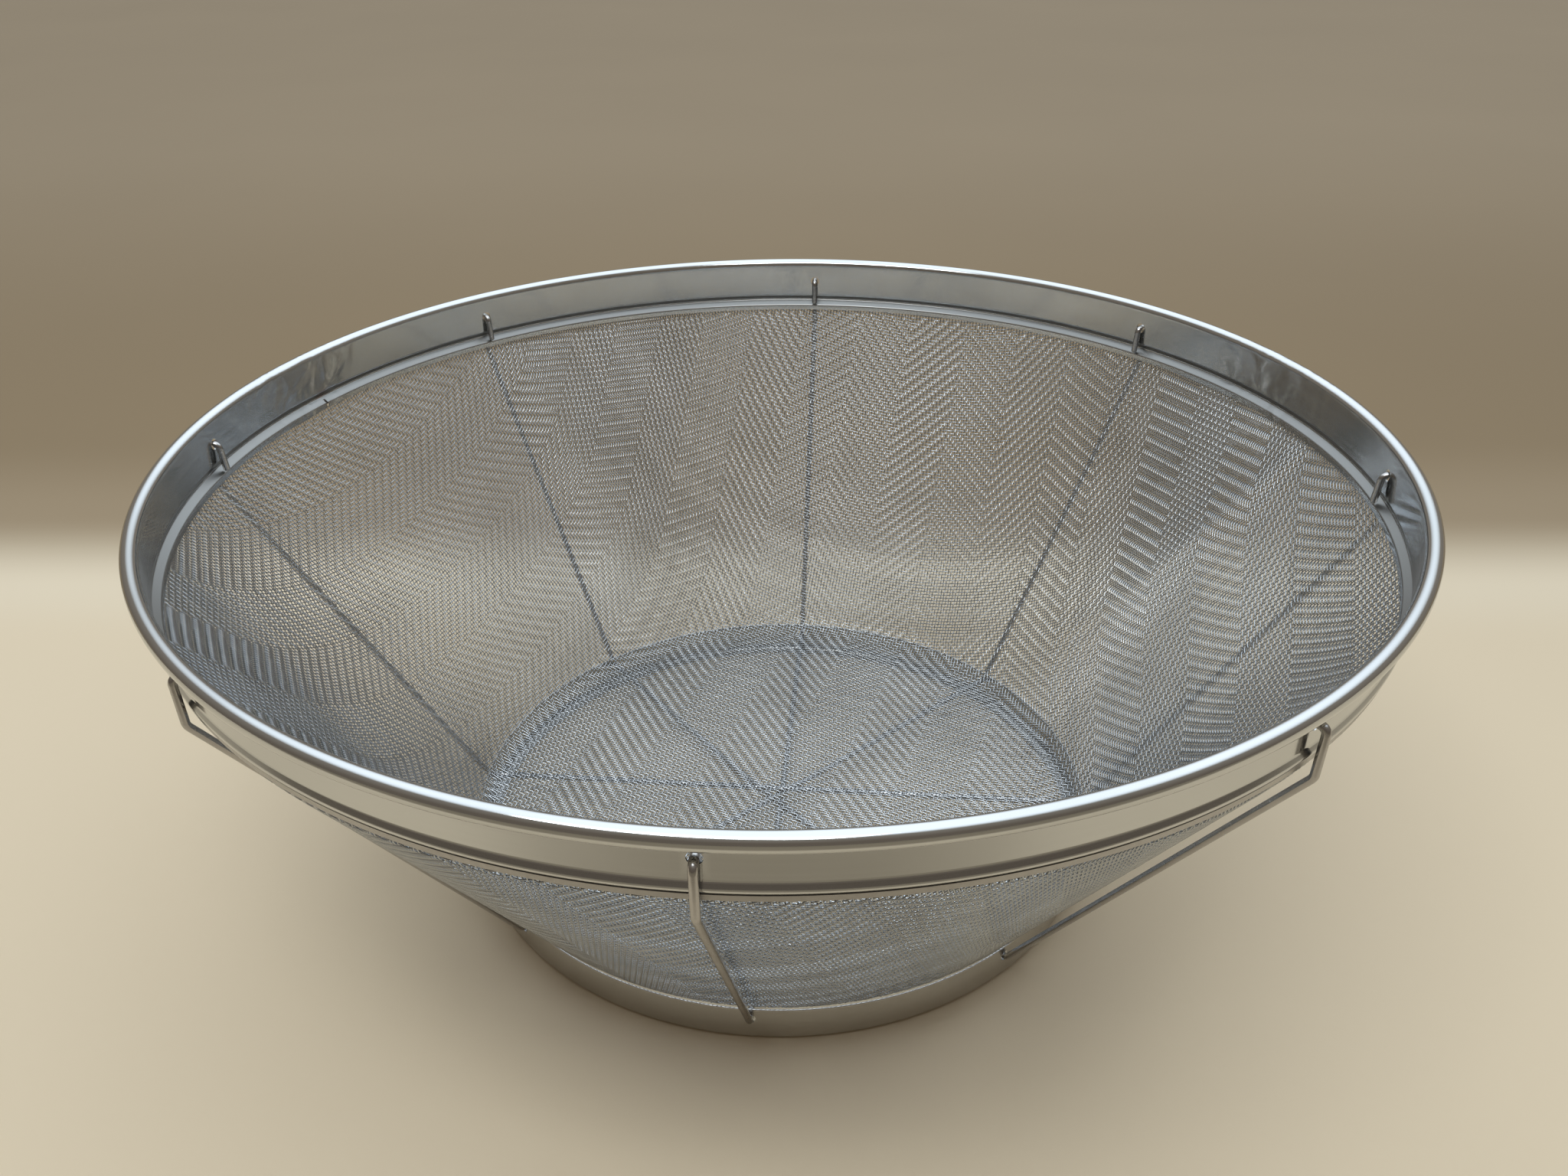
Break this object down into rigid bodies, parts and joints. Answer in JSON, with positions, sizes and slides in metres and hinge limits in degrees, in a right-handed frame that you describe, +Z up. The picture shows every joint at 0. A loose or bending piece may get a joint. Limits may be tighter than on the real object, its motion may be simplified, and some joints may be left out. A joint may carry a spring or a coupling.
{
  "type": "colander",
  "caption": "Wide woven wire colander with a conical bowl and flat floor, a rolled rim band, a low foot ring and wires hooked through the rim and crossing under the floor.",
  "frame": {"origin": "centre of the foot ring's flat underside", "axes": "+Z up along the axis of the bowl; +X along the rib wire that crosses on top"},
  "size_m": [0.36, 0.36, 0.1425],
  "materials": {
    "band_steel": "polished",
    "core_steel": "drawn",
    "hoop_steel": "satin",
    "cloth_steel": "drawn wire",
    "foot_steel": "polished",
    "wire_steel": "drawn"
  },
  "bodies": {
    "root": {"rim_band": "band_steel", "rim_core_wire": "core_steel", "mesh_hoop": "hoop_steel", "mesh_bowl": "cloth_steel", "foot_ring": "foot_steel", "rib_wire_1": "wire_steel", "rib_wire_2": "wire_steel", "rib_wire_3": "wire_steel", "rib_wire_4": "wire_steel"}
  },
  "joints": []
}
